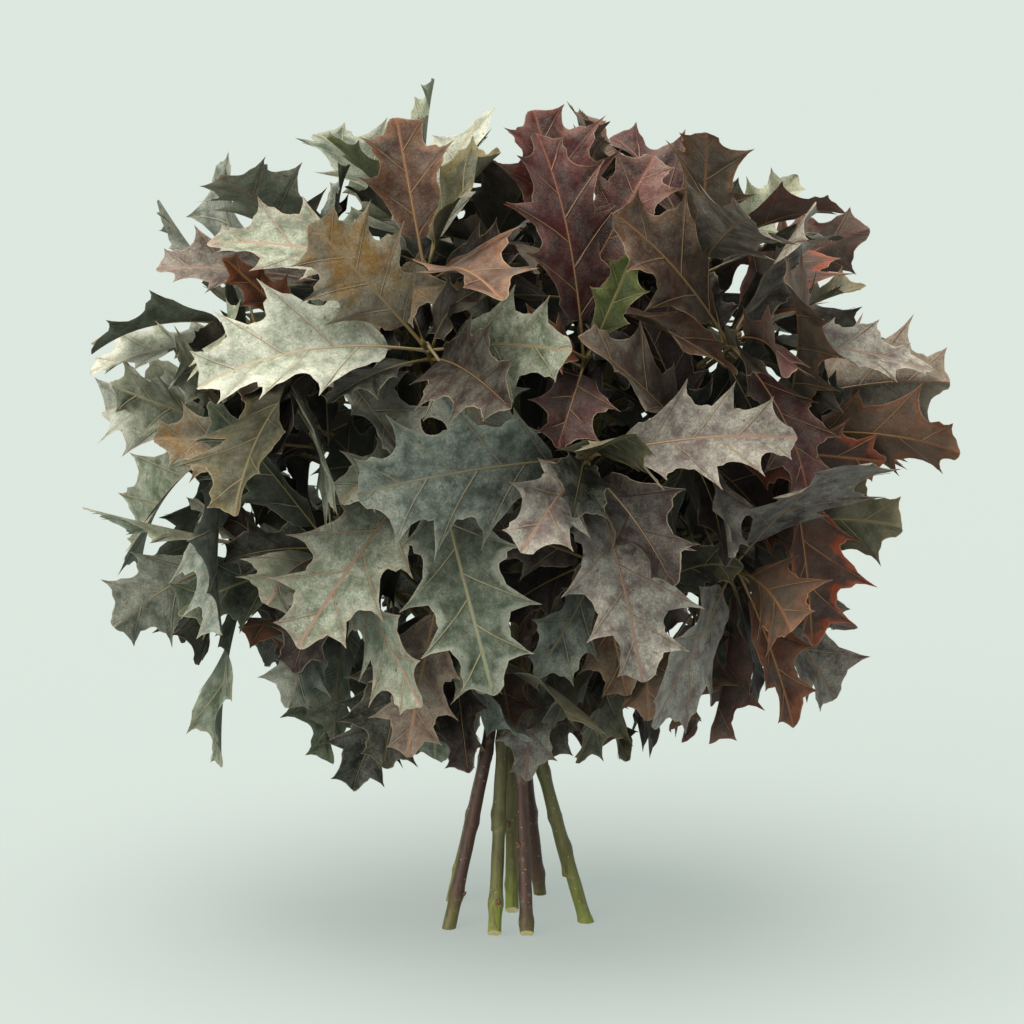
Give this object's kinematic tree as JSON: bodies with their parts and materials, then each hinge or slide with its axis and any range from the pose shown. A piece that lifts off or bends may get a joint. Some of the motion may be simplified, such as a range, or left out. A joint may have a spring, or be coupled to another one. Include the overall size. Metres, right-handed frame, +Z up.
{
  "type": "bunch of autumn leaves",
  "caption": "Hand-tied bunch of leafy autumn oak shoots, silver-green on one side and burgundy-brown on the other, standing on its cut stems.",
  "frame": {"origin": "middle of the centre stem's cut foot, on the surface that the bunch stands on", "axes": "+Z up along the centre stem, -Y towards the front, +X to the burgundy side"},
  "size_m": [0.4658, 0.3979, 0.4565],
  "materials": {
    "bark_green": "matt living bark",
    "bark_brown": "matt living bark",
    "raffia": "dry palm fibre",
    "leaf_silver": "matt leaf with a pale powdery bloom",
    "leaf_sage": "satin leaf with a light bloom",
    "leaf_rose": "matt leaf with a pink-grey bloom",
    "leaf_burgundy": "satin dark red leaf",
    "leaf_russet": "satin brown leaf, orange at the margins"
  },
  "bodies": {
    "root": {"stem_1": "bark_green", "stem_2": "bark_brown", "stem_3": "bark_green", "stem_4": "bark_green", "stem_5": "bark_brown", "stem_6": "bark_green", "stem_7": "bark_green", "stem_8": "bark_brown", "stem_9": "bark_green", "raffia_tie": "raffia", "shoot_01": "leaf_rose", "shoot_02": "leaf_burgundy", "shoot_03": "leaf_rose", "shoot_04": "leaf_sage", "shoot_05": "leaf_russet", "shoot_06": "leaf_burgundy", "shoot_07": "leaf_burgundy", "shoot_08": "leaf_russet", "shoot_09": "leaf_rose", "shoot_10": "leaf_silver", "shoot_11": "leaf_sage", "shoot_12": "leaf_sage", "shoot_13": "leaf_russet", "shoot_14": "leaf_burgundy", "shoot_15": "leaf_burgundy", "shoot_16": "leaf_russet", "shoot_17": "leaf_burgundy", "shoot_18": "leaf_sage", "shoot_19": "leaf_sage", "shoot_20": "leaf_silver", "shoot_21": "leaf_silver", "shoot_22": "leaf_sage", "shoot_23": "leaf_rose", "shoot_24": "leaf_burgundy", "shoot_25": "leaf_burgundy", "shoot_26": "leaf_russet", "shoot_27": "leaf_burgundy", "shoot_28": "leaf_burgundy", "shoot_29": "leaf_rose", "shoot_30": "leaf_silver", "shoot_31": "leaf_silver", "shoot_32": "leaf_sage", "shoot_33": "leaf_silver", "shoot_34": "leaf_russet", "shoot_35": "leaf_burgundy", "shoot_36": "leaf_burgundy", "shoot_37": "leaf_russet", "shoot_38": "leaf_burgundy", "shoot_39": "leaf_silver", "shoot_40": "leaf_sage", "shoot_41": "leaf_silver", "shoot_42": "leaf_silver", "shoot_43": "leaf_sage", "shoot_44": "leaf_russet", "shoot_45": "leaf_burgundy", "shoot_46": "leaf_burgundy", "shoot_47": "leaf_sage", "shoot_48": "leaf_silver", "shoot_49": "leaf_sage"}
  },
  "joints": []
}
